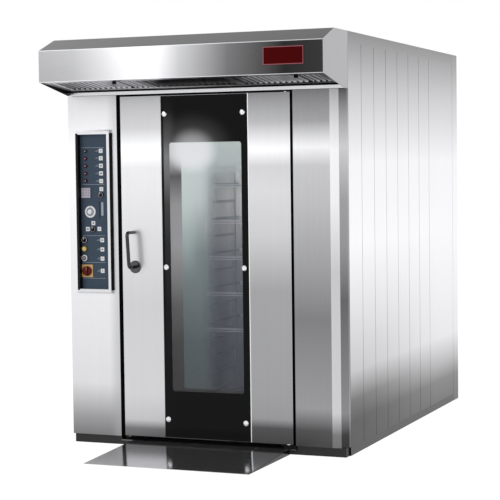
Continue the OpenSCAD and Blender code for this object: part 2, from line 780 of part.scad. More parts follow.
module rack_shaft() color("silver") from_front() {
    bar_z(cx, rack_y, shaft_r, hub_z, belt_z + pulley_h / 2 + 4);
    bar_z(cx, rack_y, shaft_r + 8, belt_z + pulley_h / 2 + touch, belt_z + pulley_h / 2 + 4);
    bar_z(cx, rack_y, shaft_r + 10, deck_top + 52 + touch, deck_top + 64);
}

// Hub, beam and two hooks that lift the rack by its cross bars
module rack_carrier() color("silver") from_front() translate([cx, rack_y, 0]) {
    difference() {
        bar_z(0, 0, 42, hub_z, hub_z + 22);
        bar_z(0, 0, shaft_r + run, hub_z - 1, hub_z + 23);
    }
    span([-30, 30], [-hook_y - 30, hook_y + 30], [beam_z, hub_z]);
    for (s = [-1, 1]) {
        leg = s * (hook_y + bar_t / 2 + 1);
        toe = s * (hook_y - bar_t / 2);
        heel = leg + s * hook_t;
        span([-20, 20], [min(leg, heel), max(leg, heel)], [cross_z - hook_t, beam_z]);
        span([-20, 20], [min(toe, heel), max(toe, heel)], [cross_z - hook_t, cross_z]);
    }
}

// Rack frame: base and top rings, six uprights, cross bars and wheel plates
module rack_frame() color("gainsboro") from_front() {
    t = rack_tube;
    inner_x = [rack_x0 + t, rack_x1 - t];
    for (z = [base_z, rack_top]) {
        for (x = [rack_x0, rack_x1 - t])
            piece([x, x + t], [rack_y0, rack_y1], [z, z + t]);
        for (y = [rack_y0, rack_y1 - t])
            piece(inner_x, [y, y + t], [z, z + t]);
    }
    piece(inner_x, [rack_y - t / 2, rack_y + t / 2], [base_z, base_z + t]);
    for (x = [rack_x0, rack_x1 - t], y = [rack_y0, rack_y - t / 2, rack_y1 - t])
        piece([x, x + t], [y, y + t], [base_z + t, rack_top]);
    for (s = [-1, 1])
        piece([rack_x0, rack_x1], [rack_y + s * hook_y - bar_t / 2, rack_y + s * hook_y + bar_t / 2],
            [cross_z, cross_z + bar_t]);
    for (x = [rack_x0, rack_x1 - plate_w], y = [rack_y0, rack_y1 - plate_w])
        piece([x, x + plate_w], [y, y + plate_w], [base_z - plate_t, base_z]);
    for (x = [rack_x0 + plate_w / 2, rack_x1 - plate_w / 2]) {
        for (s = [-1, 1])
            span([x + s * cheek - 2, x + s * cheek + 2], [rear_axle_y - 21, rear_axle_y + 21],
                [wheel_z - 12, base_z - plate_t]);
        translate([x - cheek - 2, rear_axle_y, wheel_z]) rotate([0, 90, 0])
            cylinder(r = axle_r, h = 2 * cheek + 4);
    }
}

// Angle runners on every level, and cross ties on every second one
module tray_runners() color("gainsboro") from_front() {
    seat = 2;
    tie_d = 20;
    for (k = [0:levels - 1]) {
        z = level_z + k * level_pitch;
        for (s = [-1, 1]) {
            x = cx + s * (rack_w / 2 - rack_tube - weld);
            translate([0, rack_y1 - tie_d - weld, 0]) rotate([90, 0, 0])
                linear_extrude(rack_d - 2 * tie_d - 2 * weld)
                polygon([[x, z - tie_h / 2], [x, z + tie_h / 2], [x - s * runner_w, z + tie_h / 2],
                    [x - s * runner_w, z + tie_h / 2 - seat], [x - s * seat, z + tie_h / 2 - seat],
                    [x - s * seat, z - tie_h / 2]]);
        }
        if (k >= tie_from && k % 2 == 0)
            for (y = [rack_y0, rack_y1 - tie_d])
                piece([rack_x0 + rack_tube, rack_x1 - rack_tube], [y, y + tie_d], [z - tie_h / 2, z + tie_h / 2]);
    }
}

// Swivel fork: round head, crown and two cheeks, with the wheel's axle
module castor_fork(x) {
    y = rack_y0 + plate_w / 2;
    crown = base_z - plate_t - 14;
    bar_z(x, y, 24, crown + 4, base_z - plate_t - touch);
    span([x - cheek - 2, x + cheek + 2], [y - 22, y + trail + 6], [crown, crown + 4]);
    for (s = [-1, 1])
        across(x + s * cheek - 2, x + s * cheek + 2)
            polygon([[y - 22, crown], [y + trail + 6, crown], [y + trail + 14, wheel_z - 4],
                [y + trail + 4, wheel_z - 14], [y + trail - 10, wheel_z - 10]]);
    translate([x - cheek - 2, y + trail, wheel_z]) rotate([0, 90, 0]) cylinder(r = axle_r, h = 2 * cheek + 4);
}

// Wheel with a tread, a dished hub and a bored middle
module wheel(x, y) {
    h = wheel_w / 2;
    bore = axle_r + run;
    translate([x, y, wheel_z]) rotate([0, 90, 0]) rotate_extrude()
        polygon([[bore, -h - 1], [14, -h - 1], [16, -h + 6], [wheel_r - 12, -h + 6], [wheel_r - 8, -h],
            [wheel_r - 3, -h], [wheel_r, -h + 5], [wheel_r, h - 5], [wheel_r - 3, h], [wheel_r - 8, h],
            [wheel_r - 12, h - 6], [16, h - 6], [14, h + 1], [bore, h + 1]]);
}

module castor_fork_left() color("silver") from_front() castor_fork(rack_x0 + plate_w / 2);

module castor_fork_right() color("silver") from_front() castor_fork(rack_x1 - plate_w / 2);

module castor_wheel_left() color("dimgray") from_front() wheel(rack_x0 + plate_w / 2, front_axle_y);

module castor_wheel_right() color("dimgray") from_front() wheel(rack_x1 - plate_w / 2, front_axle_y);

module rear_wheel_left() color("dimgray") from_front() wheel(rack_x0 + plate_w / 2, rear_axle_y);

module rear_wheel_right() color("dimgray") from_front() wheel(rack_x1 - plate_w / 2, rear_axle_y);

// ---------- hood ----------

// Hood casing: folded face and roof, end plates and the rim under the filters
module hood_shell() color("silver") from_front() {
    t = sheet;
    across(-half_w + t, half_w - t)
        polygon(ribbon([[hood_back, cab_h - 20], [hood_back, cab_h], [-hood_roof, cab_h],
            [-hood_out, hood_top], [-hood_out, hood_low], [-hood_out + 12, hood_low - 2]], t));
    both_sides() across(half_w - t, half_w)
        polygon([[hood_back, cab_h], [-hood_roof, cab_h], [-hood_out, hood_top], [-hood_out, hood_low],
            [-hood_out + 12, hood_low - 2], [-2, post_h + 4], [hood_back, post_h + 4]]);
    translate([0, 0, rim_z]) rotate([-hood_tilt, 0, 0]) {
        both_sides() span([half_w - rim, half_w - t], [-hood_len + 4, 0], [0, 3]);
        for (y = [-hood_len + 4, -rim])
            span([-half_w + rim, half_w - rim], [y, y + rim], [0, 3]);
    }
    span([-half_w + t, half_w - t], [0, t], [rim_z, cab_h - t]);
}

// Lift-out filters: frames with slats that run front to back, and grips
module hood_filters() color("gray") from_front() {
    w = filter_w - 4;
    y0 = -hood_len + rim + 4 - 10;
    y1 = -rim + 10;
    count = floor((w - 40) / slat_pitch);
    translate([0, 0, rim_z]) rotate([-hood_tilt, 0, 0])
        for (k = [0:filters - 1]) {
            x0 = -half_w + rim + k * filter_w + 2;
            difference() {
                span([x0, x0 + w], [y0, y1], [3, 15]);
                span([x0 + 18, x0 + w - 18], [y0 + 18, y1 - 18], [2, 16]);
            }
            for (i = [0:count - 1])
                translate([x0 + 22 + i * (w - 40) / count, y0 + 18, 5]) rotate([0, -20, 0])
                    cube([20, y1 - y0 - 36, 1.5]);
            span([x0 + 0.74 * w, x0 + 0.74 * w + 20], [y0 + 10.5, y0 + 22], [-14, 8]);
        }
}

// Bare plate on the hood's face
module sign_plate() color("maroon") from_front() {
    x1 = half_w - 107;
    z0 = (hood_low + hood_top) / 2 + 10 - sign_h / 2;
    span([x1 - sign_w, x1], [-hood_out - 4, -hood_out], [z0, z0 + sign_h]);
}

// ---------- control panel ----------

// Bevelled frame with a collar that reaches back to the board
module control_bezel() color("silver") from_front() {
    b = panel_out * 0.4;
    difference() {
        union() {
            hull() {
                span([panel_x0, panel_x1], [-1, 0], [panel_z, panel_z + panel_h]);
                span([panel_x0 + b, panel_x1 - b], [-panel_out, -panel_out + 1],
                    [panel_z + b, panel_z + panel_h - b]);
            }
            span([board_x0, board_x1], [-1, board_back], [board_z0, board_z1]);
        }
        span([board_x0 + 2, board_x1 - 2], [-panel_out - 1, board_back + 1], [board_z0 + 2, board_z1 - 2]);
    }
}

// Board with the holes of everything that turns or is pressed
module control_board() color("slategray") from_front() difference() {
    span([board_x0, board_x1], [board_back, board_back + board_t], [board_z0, board_z1]);
    for (c = concat([dial_at], [for (s = selector_at) s], [for (s = button_at) s], [switch_at]))
        bar_y(c[0], c[1], c[2] + run, board_back - 1, board_back + board_t + 1);
}

// Places on the board: x, z and stem radius
dial_at = [board_x0 + 61, 1331, 4];
selector_at = [[right_col, 1428, 4], [board_x0 + 77, 1232, 4], [button_col, 1170, 4]];
button_at = [[button_col, 1119, 7], [button_col, 1066, 7]];
switch_at = [board_x0 + 37, 992, 5];

// Five signal lamps, each a domed lens in a collar
module indicator_lamps() color("limegreen") from_front() {
    for (k = [0:4])
        translate([lamp_col, board_back, 1677 - k * 42.25]) rotate([90, 0, 0]) rotate_extrude()
            polygon([[0, 0], [11, 0], [11, 4], [8.5, 5], [7, 9], [4, 11], [0, 11.6]]);
}

module timer_display() color("darkslategray") from_front() {
    x = board_x0 + 7;
    difference() {
        span([x, x + 58], [board_back - 8, board_back], [1410, 1468]);
        span([x + 7, x + 51], [board_back - 9, board_back - 5], [1424, 1461]);
    }
}

// Stem that turns in the board, with the collar that keeps it there
module stem(at, front) {
    bar_y(at[0], at[1], at[2], front, board_back + board_t + 8);
    bar_y(at[0], at[1], at[2] + 3, board_back + board_t + touch, board_back + board_t + 6);
}

// Knob with a grip bar, standing off by the plate between it and the board
module knob(at, r, h, grip, plate = 0) {
    x = at[0];
    z = at[1];
    back = board_back - plate - touch;
    stem(at, back - 1);
    bar_y(x, z, r, back - h, back);
    span([x - grip / 2, x + grip / 2], [back - 1.8 * h, back - h + 1], [z - 0.9 * r, z + 0.95 * r]);
}

// Timer dial: skirt with a pointer ridge, groove and raised cap
module timer_dial() color("white") from_front() {
    x = dial_at[0];
    z = dial_at[1];
    back = board_back - touch;
    stem(dial_at, back - 1);
    translate([x, back, z]) rotate([90, 0, 0]) rotate_extrude()
        polygon([[0, 0], [dial_r, 0], [dial_r, 3], [dial_r - 2, 5], [dial_r - 11, 5], [dial_r - 12, 4],
            [15, 4], [14, 5], [13, 13], [10, 15], [0, 15]]);
    span([x - 1.5, x + 1.5], [back - 6.5, back - 4], [z + dial_r - 11, z + dial_r - 2]);
}

module light_selector() color("black") from_front() knob(selector_at[0], small_r, 8, 5);

module fan_selector() color("black") from_front() knob(selector_at[1], small_r, 8, 5);

module steam_selector() color("black") from_front() knob(selector_at[2], small_r + 2, 8, 6);

// Push button: a ring, a groove and a cap on a stem with a stop collar
module button(at) {
    x = at[0];
    z = at[1];
    bar_y(x, z, at[2], board_back - 6, board_back + board_t + 12);
    bar_y(x, z, at[2] + 3, board_back + board_t + touch, board_back + board_t + 4);
    translate([x, board_back - 5, z]) rotate([90, 0, 0]) rotate_extrude()
        polygon([[0, 0], [button_r, 0], [button_r, 4], [button_r - 1, 5], [button_r - 3.5, 5], [button_r - 4, 3],
            [button_r - 5.5, 3], [button_r - 6, 8], [button_r - 8, 9], [0, 9]]);
}

module start_button() color("goldenrod") from_front() button(button_at[0]);

module stop_button() color("whitesmoke") from_front() button(button_at[1]);

module main_switch_plate() color("gold") from_front() difference() {
    x = switch_at[0];
    z = switch_at[1];
    span([x - 34, x + 34], [board_back - switch_t, board_back], [z - 36, z + 36]);
    bar_y(x, z, switch_at[2] + run, board_back - switch_t - 1, board_back + 1);
}

module main_switch_knob() color("red") from_front() knob(switch_at, 28, 10, 11, switch_t);

// ---------- door ----------

// Front stiles, edges, back and window collar of the door in thin sheet
module door_skin() color("gainsboro") from_front() {
    difference() {
        span([door_x0, door_x1], [0, door_t], [door_z0, door_z1]);
        span([door_x0 + sheet, door_x1 - sheet], [sheet, door_t - sheet], [door_z0 + sheet, door_z1 - sheet]);
        span([glass_x0, glass_x1], [-1, sheet + 1], [door_z0 + sheet, door_z1 - sheet]);
        window_hole(0, door_t / 2, door_t + 1);
        bar_y(handle_x, handle_z, spindle_r + run, -1, door_t + 1);
    }
    difference() {
        window_hole(sheet, glass_back, door_t - sheet);
        window_hole(0, 0, door_t);
    }
}

// The window's outline widened by more, between two depths
module window_hole(more, y0, y1) {
    translate([window_x0 - more, y1, window_z - more]) rotate([90, 0, 0]) linear_extrude(y1 - y0)
        rounded(window_w + 2 * more, window_h + 2 * more, window_r + more);
}

// Wool blocks of the door: the stiles, and the frame behind the glass
module door_core() color("khaki") from_front() {
    full = [sheet, door_t - sheet];
    behind = [glass_back, door_t - sheet];
    x = [door_x0 + sheet, door_x1 - sheet];
    z = [door_z0 + sheet, door_z1 - sheet];
    w = [window_x0 - sheet, window_x1 + sheet];
    difference() {
        piece([x[0], glass_x0], full, z);
        bar_y(handle_x, handle_z, spindle_r + 6, 0, door_t);
    }
    piece([glass_x1, x[1]], full, z);
    piece([glass_x0, w[0]], behind, z);
    piece([w[1], glass_x1], behind, z);
    piece(w, behind, [z[0], window_z - sheet]);
    piece(w, behind, [window_z1 + sheet, z[1]]);
}

// Outer pane over the full height of the door, bored for its six studs
module door_glass() color("black") from_front() difference() {
    span([glass_x0 + 1, glass_x1 - 1], [glass_back - glass_t, glass_back], [door_z0 + sheet, door_z1 - sheet]);
    for (p = studs)
        bar_y(p[0], p[1], 5 + run, glass_back - glass_t - 1, glass_back + 1);
}

// Inner pane at the back of the window
module inner_glass() color("lightblue", 0.4) from_front() {
    window_hole(-touch, pane_y, pane_y + glass_t);
}

// Seal on the back of the door, on three sides, and the sweep under it
module door_seal() color("black") from_front() {
    left = door_x0 + 6;
    right = hinge_x - 8;
    top = door_z1 - 14;
    back = [door_t, stop_y - touch];
    piece([left, left + seal_w], back, [door_z0 + 4, top]);
    piece([right - seal_w, right], back, [door_z0 + 4, top]);
    piece([left + seal_w, right - seal_w], back, [top - seal_w, top]);
    span([left, right], [door_t - 2 * seal_w, door_t - seal_w], [pan_z + 4, door_z0]);
}

// Fittings of the door: hinge pins, the handle's round plate and the studs
module door_fittings() color("silver") from_front() {
    bar_z(hinge_x, hinge_back, pin_r, door_z1, head_z - 1);
    bar_z(hinge_x, hinge_back, pin_r, pan_z + 4, door_z0);
    bar_z(hinge_x, hinge_back, pin_r + 6, door_z0 - hinge_gap + touch, door_z0);
    difference() {
        translate([handle_x, 0, handle_z]) rotate([90, 0, 0]) rotate_extrude()
            polygon([[0, 0], [rose_r, 0], [rose_r, rose_t - 5], [rose_r - 4, rose_t - 1], [0, rose_t]]);
        bar_y(handle_x, handle_z, spindle_r + run, -20, 1);
    }
    for (p = studs)
        translate([p[0], glass_back, p[1]]) rotate([90, 0, 0]) rotate_extrude()
            polygon([[0, 0], [5, 0], [5, glass_t], [stud_r, glass_t], [stud_r, glass_t + 4],
                [stud_r - 4, glass_t + 7], [0, glass_t + 8]]);
}

// A quarter bend of the handle bar in the y-z plane, from angle a
module bend(z, a) {
    translate([0, -grip_out + bend_r, z]) rotate([90, 0, 90]) rotate([0, 0, a])
        rotate_extrude(angle = 90) translate([bend_r, 0]) circle(grip_r);
}

// Lever handle: spindle, post, grip and the tip that turns back to the door
module door_handle() color("silver") from_front() translate([handle_x, 0, handle_z]) {
    knee = -grip_out + bend_r;
    bar_y(0, 0, spindle_r, knee, chamber_y0 + 2 + tongue_t);
    rotate([0, -lever_lean, 0]) {
        bar_y(0, 0, grip_r, knee, -rose_t - touch);
        bend(bend_r, 180);
        translate([0, -grip_out, bend_r]) cylinder(r = grip_r, h = grip_h - 2 * bend_r);
        bend(grip_h - bend_r, 90);
        bar_y(0, grip_h, grip_r, knee, -rose_t - 4);
    }
    translate([-12, chamber_y0 + 2, -tongue_l]) cube([24, tongue_t, tongue_l + 12]);
}

// Brackets that hold the hinge pins, and the keeper of the latch tongue
module hinge_brackets() color("silver") from_front() {
    x = [hinge_x - 24, right_post_x0];
    difference() {
        span(x, [2, 40], [door_z1 + hinge_gap, head_z]);
        bar_z(hinge_x, hinge_back, pin_r + run, door_z1, head_z + 1);
    }
    difference() {
        span(x, [0, 40], [pan_z, door_z0 - hinge_gap]);
        bar_z(hinge_x, hinge_back, pin_r + run, pan_z + 3, door_z0);
    }
    span([stop_x0 - 24, stop_x0 - sheet], [stop_y + sheet, chamber_y0 + 2 - 2 * touch],
        [handle_z - 19, handle_z + 19]);
}

frame();
floor_pan();
plinth();
ramp();
left_post();
right_post();
door_head();
right_side_panels();
left_side_panels();
edge_rails();
rear_casing();
roof_deck();
insulation();
chamber_walls();
air_louvres();
circulation_fan();
fan_motor();
heating_elements();
steam_generator();
chamber_lamp();
vent_stack();
damper_flap();
gearmotor();
drive_pulley();
drive_belts();
shaft_bearing();
rack_shaft();
rack_pulley();
rack_carrier();
rack_frame();
tray_runners();
castor_fork_left();
castor_fork_right();
castor_wheel_left();
castor_wheel_right();
rear_wheel_left();
rear_wheel_right();
hood_shell();
hood_filters();
sign_plate();
control_bezel();
control_board();
indicator_lamps();
timer_display();
timer_dial();
light_selector();
fan_selector();
steam_selector();
start_button();
stop_button();
main_switch_plate();
main_switch_knob();
door_skin();
door_core();
door_glass();
inner_glass();
door_seal();
door_fittings();
door_handle();
hinge_brackets();
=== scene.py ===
import math
import bpy
from mathutils import Matrix, Vector


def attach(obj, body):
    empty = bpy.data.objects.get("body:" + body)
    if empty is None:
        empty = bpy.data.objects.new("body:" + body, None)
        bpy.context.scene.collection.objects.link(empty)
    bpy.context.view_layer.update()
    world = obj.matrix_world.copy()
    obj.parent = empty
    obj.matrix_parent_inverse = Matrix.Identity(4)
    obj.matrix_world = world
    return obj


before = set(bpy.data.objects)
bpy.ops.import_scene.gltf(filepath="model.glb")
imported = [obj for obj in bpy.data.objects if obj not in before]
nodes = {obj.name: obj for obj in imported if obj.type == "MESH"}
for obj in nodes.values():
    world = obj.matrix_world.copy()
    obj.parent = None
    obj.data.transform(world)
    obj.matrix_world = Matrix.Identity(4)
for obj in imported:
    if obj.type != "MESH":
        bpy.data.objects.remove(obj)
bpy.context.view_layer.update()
print("frame loaded, pieces:", len(nodes))


# ---- shader maths: a socket that adds, multiplies and compares ----
class Wire:
    def __init__(self, paint, socket):
        self.paint = paint
        self.socket = socket

    def maths(self, operation, first, second):
        return self.paint.make("ShaderNodeMath", {"operation": operation}, [first, second])

    def __add__(self, other):
        return self.maths("ADD", self, other)

    def __radd__(self, other):
        return self.maths("ADD", other, self)

    def __sub__(self, other):
        return self.maths("SUBTRACT", self, other)

    def __rsub__(self, other):
        return self.maths("SUBTRACT", other, self)

    def __mul__(self, other):
        return self.maths("MULTIPLY", self, other)

    def __gt__(self, other):
        return self.maths("GREATER_THAN", self, other)

    def __lt__(self, other):
        return self.maths("LESS_THAN", self, other)

    def __abs__(self):
        return self.paint.single("ABSOLUTE", self)


class Paint:
    def __init__(self, name, owner=None, outKind="ShaderNodeOutputMaterial"):
        self.material = owner or bpy.data.materials.new(name)
        self.material.use_nodes = True
        self.tree = self.material.node_tree
        self.tree.nodes.clear()
        self.out = self.tree.nodes.new(outKind)
        place = self.tree.nodes.new("ShaderNodeTexCoord")
        self.place = Wire(self, place.outputs["Object"])
        split = self.tree.nodes.new("ShaderNodeSeparateXYZ")
        self.tree.links.new(place.outputs["Object"], split.inputs[0])
        self.x, self.y, self.z = [Wire(self, s) for s in split.outputs]

    def make(self, kind, settings=None, inputs=None, output=0):
        node = self.tree.nodes.new(kind)
        for key, value in (settings or {}).items():
            if key == "stops":
                ramp = node.color_ramp
                while len(ramp.elements) < len(value):
                    ramp.elements.new(0.5)
                for element, (at, colour) in zip(ramp.elements, value):
                    element.position = at
                    element.color = colour
            else:
                setattr(node, key, value)
        pairs = inputs.items() if isinstance(inputs, dict) else enumerate(inputs or [])
        for key, value in pairs:
            if isinstance(value, Wire):
                self.tree.links.new(value.socket, node.inputs[key])
            else:
                node.inputs[key].default_value = value
        return Wire(self, node.outputs[output])

    def single(self, operation, value):
        return self.make("ShaderNodeMath", {"operation": operation}, [value])

    # a colour that changes along a coordinate, from (metres, display colour) stops
    def tones(self, along, stops):
        low, high = stops[0][0], stops[-1][0]
        scaled = (along - low) * (1 / (high - low))
        placed = [((at - low) / (high - low), shade(value)) for at, value in stops]
        return self.make("ShaderNodeValToRGB", {"stops": placed}, [scaled])

    def mix(self, factor, first, second):
        return self.make("ShaderNodeMix", {"data_type": "RGBA"}, {0: factor, 6: first, 7: second}, 2)

    def tint(self, colour, level):
        grey = self.make("ShaderNodeCombineXYZ", None, [level, level, level])
        colour = colour if isinstance(colour, Wire) else colour[:3]
        return self.make("ShaderNodeVectorMath", {"operation": "MULTIPLY"}, [colour, grey])

    def noise(self, stretch, scale=1.0, detail=2.0):
        spread = self.make("ShaderNodeVectorMath", {"operation": "MULTIPLY"}, [self.place, stretch])
        return self.make("ShaderNodeTexNoise", None, {"Vector": spread, "Scale": scale, "Detail": detail})

    def surface(self, **sockets):
        names = {"colour": "Base Color", "metallic": "Metallic", "roughness": "Roughness", "alpha": "Alpha",
                 "normal": "Normal", "coat": "Coat Weight", "ior": "IOR", "glow": "Emission Color",
                 "glowStrength": "Emission Strength"}
        shader = self.make("ShaderNodeBsdfPrincipled", None, {names[k]: v for k, v in sockets.items()})
        self.tree.links.new(shader.socket, self.out.inputs[0])
        return self.material

    def bump(self, height, strength):
        return self.make("ShaderNodeBump", None, {"Strength": strength, "Distance": 0.001, "Height": height})

    # 0 before the start and 1 past the end, with a soft step between them
    def fade(self, along, start, end):
        return self.make("ShaderNodeMapRange", {"interpolation_type": "SMOOTHSTEP"},
                         [along, start, end, 0.0, 1.0])

    # how far a place is across its own cell, from 0 to 1, where cells follow at a pitch
    def repeat(self, along, pitch):
        return self.single("FRACT", along * (1 / pitch))

    # 1 where the camera, a mirror or a clear pane looks, for a background that shows white
    def lookedAt(self):
        seen = self.make("ShaderNodeLightPath", output="Is Camera Ray")
        for kind in ("Is Glossy Ray", "Is Transmission Ray"):
            seen = seen.maths("MAXIMUM", seen, self.make("ShaderNodeLightPath", output=kind))
        return seen


# display brightness, or three of them, as the renderer's linear colour
def shade(value):
    three = value if isinstance(value, tuple) else (value, value, value * 1.012)
    return tuple(((v + 0.055) / 1.055) ** 2.4 if v > 0.04 else v / 12.92 for v in three) + (1.0,)


# 1 within a distance of a place along a coordinate
def close(along, centre, half):
    return abs(along - centre) < half


grainOf = {"Z": (700, 700, 5), "X": (5, 700, 700), "Y": (700, 5, 700)}
streakOf = {"Z": (60, 60, 0.7), "X": (0.7, 60, 60), "Y": (60, 0.7, 60)}


# brushed sheet: tones laid along it, streaks and fine grain in the direction of brushing
def steel(name, makeTone, grain="Z", roughness=0.30, uneven=0.05, relief=0.06, metallic=1.0):
    paint = Paint(name)
    streak = paint.noise(streakOf[grain])
    fine = paint.noise(grainOf[grain], detail=3.0)
    smudge = paint.noise((1, 1, 1), scale=2.3)
    level = 1 + (streak - 0.5) * uneven + (fine - 0.5) * 0.06 + (smudge - 0.5) * uneven
    colour = paint.tint(makeTone(paint), level)
    rough = roughness + (fine - 0.5) * roughness * 0.3 + (smudge - 0.5) * roughness * 0.2
    return paint.surface(colour=colour, metallic=metallic, roughness=rough, normal=paint.bump(fine, relief))


# moulded, painted or rubber surface with a little mottling and grain
def coated(name, colour, roughness=0.45, metallic=0.0, mottle=0.06, size=90, coat=0.0, bumpy=0.08, ior=1.45):
    paint = Paint(name)
    patch = paint.noise((1, 1, 1), scale=size / 8)
    fine = paint.noise((1, 1, 1), scale=size * 8, detail=3.0)
    level = 1 + (patch - 0.5) * mottle * 2 + (fine - 0.5) * mottle
    return paint.surface(colour=paint.tint(shade(colour), level), metallic=metallic,
                         roughness=roughness + (patch - 0.5) * 0.12, coat=coat, ior=ior,
                         normal=paint.bump(fine, bumpy))


def wear(nodeNames, material):
    for name in nodeNames.split():
        data = nodes[name].data
        data.materials.clear()
        data.materials.append(material)


# ---- stainless casing: painted reflections and painted shade, as tones (metres, display brightness) along the height or the width ----
casing = {
    "side": [(0.0, 0.08), (0.18, 0.12), (0.30, 0.35), (0.46, 0.76), (1.15, 0.98), (1.60, 0.97),
             (2.0, 0.77), (2.3, 0.50)],
    "sideBack": [(0.0, 0.22), (0.18, 0.40), (0.30, 0.70), (0.46, 0.90), (1.15, 0.98), (1.60, 0.97),
                 (2.0, 0.79), (2.3, 0.52)],
    "leftPost": [(0.0, 0.40), (0.16, 0.62), (0.35, 0.86), (1.2, 0.94), (1.65, 0.97), (1.99, 0.78)],
    "rightPost": [(0.0, 0.26), (0.14, 0.34), (0.26, 0.60), (0.75, 0.50), (1.38, 0.74),
                  (1.58, 0.78), (1.68, 0.95), (1.82, 0.62), (1.99, 0.48)],
    "firstBevel": [(0.0, 0.42), (0.12, 0.48), (0.24, 0.80), (1.0, 0.78), (1.38, 0.94),
                   (1.66, 0.97), (1.99, 0.68)],
    "secondBevel": [(0.0, 0.20), (0.12, 0.25), (0.24, 0.54), (0.85, 0.40), (1.15, 0.58),
                    (1.4, 0.62), (1.68, 0.79), (1.99, 0.30)],
    "handleStile": [(0.05, 0.40), (0.10, 0.46), (0.15, 0.76), (0.30, 0.82), (0.8, 0.81),
                    (1.45, 0.90), (1.58, 0.90), (1.67, 1.0), (1.80, 0.78), (1.99, 0.66)],
    "hingeStile": [(0.05, 0.31), (0.14, 0.35), (0.19, 0.61), (0.32, 0.62), (0.9, 0.64), (1.2, 0.80),
                   (1.45, 0.85), (1.58, 0.82), (1.67, 0.98), (1.82, 0.70), (1.99, 0.54)],
    "fascia": [(-0.834, 0.62), (-0.62, 0.66), (-0.45, 0.76), (-0.25, 0.90), (-0.12, 0.88), (0.02, 0.70),
               (0.3, 0.42), (0.62, 0.16), (0.834, 0.21)],
    "hoodTop": [(-0.834, 0.34), (0.1, 0.20), (0.5, 0.08), (0.834, 0.10)],
}
# where one tone meets the next, in metres
meets = {"sideFront": -0.8, "sideBack": 1.3, "postInner": -0.60, "postEdge": -0.53, "firstBevel": 0.751,
         "secondBevel": 0.800, "hingeSide": 0.15, "stileEdge": (0.2740, 0.2795), "hoodRoof": 2.2312,
         "upperFold": 2.2300, "lowerFold": 2.0575, "foldHalf": 0.0022, "hoodInner": 0.80, "hoodEnd": 0.8325,
         "hoodFront": -1.195, "hoodCeiling": 2.20, "rampSide": 0.4995, "roundPlate": -0.3}


def layTones(key, along="z"):
    return lambda paint: paint.tones(getattr(paint, along), casing[key])


# the first tones before a place and the second past it
def change(paint, factor, first, second, along="z"):
    return paint.mix(factor, layTones(first, along)(paint), layTones(second, along)(paint))


# the side walls carry painted reflections, and painted shade that is darker low down towards the front
def sideTone(paint):
    return change(paint, paint.fade(paint.y, meets["sideFront"], meets["sideBack"]), "side", "sideBack")


# painted reflections up the left post, and painted shade towards the door
def leftPostTone(paint):
    towardsDoor = paint.fade(paint.x, meets["postInner"], meets["postEdge"])
    return paint.mix(towardsDoor * 0.45, layTones("leftPost")(paint), shade(0.66))


# painted reflections on the right post, with its two bevels painted lit and shaded differently
def rightPostTone(paint):
    inner = change(paint, paint.x > meets["firstBevel"], "rightPost", "firstBevel")
    return paint.mix(paint.x > meets["secondBevel"], inner, layTones("secondBevel")(paint))


# painted reflections down both stiles, and a painted highlight where the stile's edge beside the glass
# catches the light
def doorTone(paint):
    stiles = change(paint, paint.x > meets["hingeSide"], "handleStile", "hingeStile")
    start, end = meets["stileEdge"]
    return paint.mix((paint.x > start) * (paint.x < end), stiles, shade(0.96))


# folded face and its roof with painted reflections, painted highlights on the two bright folds between them,
# and the ends, with painted shade on their inner side
def hoodTone(paint):
    front = change(paint, paint.z > meets["hoodRoof"], "fascia", "hoodTop", along="x")
    upperFold = close(paint.z, meets["upperFold"], meets["foldHalf"])
    lowerFold = close(paint.z, meets["lowerFold"], meets["foldHalf"])
    front = paint.mix((upperFold + lowerFold) * 0.6, front, shade(0.92))
    atEnds = abs(paint.x) > meets["hoodInner"]
    within = atEnds * (paint.y > meets["hoodFront"]) * (paint.z < meets["hoodCeiling"])
    front = paint.mix(within, front, shade(0.14))
    return paint.mix(abs(paint.x) > meets["hoodEnd"], front, shade(0.68))


def even(value):
    return lambda paint: shade(value)


# panel frame: painted bright, with painted shade on its two slopes that face the hinge side
bezel = {"low": 0.884, "high": 1.778, "slopeOut": -0.777, "slopeIn": -0.762, "flank": -0.5625,
         "bright": 0.86, "dark": 0.15}


def bezelTone(paint):
    slope = (paint.x > bezel["slopeOut"]) * (paint.x < bezel["slopeIn"]) + (paint.x > bezel["flank"])
    height = (paint.z > bezel["low"]) * (paint.z < bezel["high"])
    return paint.mix(slope * height, shade(bezel["bright"]), shade(bezel["dark"]))


# underside of the hood: slats with dark joints, painted as a reflection that is darker over the glass, and
# black grips
filters = {"tones": [(-0.834, 0.90), (-0.30, 0.84), (-0.16, 0.30), (0.24, 0.26), (0.40, 0.80), (0.834, 0.84)],
           "pitch": 0.033, "joint": 0.42, "jointShare": 0.9, "jointTone": 0.10,
           "grips": 3, "firstGrip": -0.3933, "gripPitch": 0.5293, "halfGrip": 0.011, "gripTone": 0.08}


def filterTone(paint):
    slats = paint.tones(paint.x, filters["tones"])
    joints = paint.repeat(paint.x + 1, filters["pitch"]) < filters["joint"]
    slats = paint.mix(joints * filters["jointShare"], slats, shade(filters["jointTone"]))
    grips = 0
    for number in range(filters["grips"]):
        middle = filters["firstGrip"] + number * filters["gripPitch"]
        grips = grips + close(paint.x, middle, filters["halfGrip"])
    return paint.mix(grips, slats, shade(filters["gripTone"]))


# mirror ramp, with painted shade on its dark folded side
def rampTone(paint):
    return paint.mix(paint.x > meets["rampSide"], shade(0.76), shade(0.05))


# bright studs on the glass, and the handle's round plate beside them painted darker as a reflection
def fittingTone(paint):
    return paint.mix(paint.x > meets["roundPlate"], shade(0.34), shade(0.90))


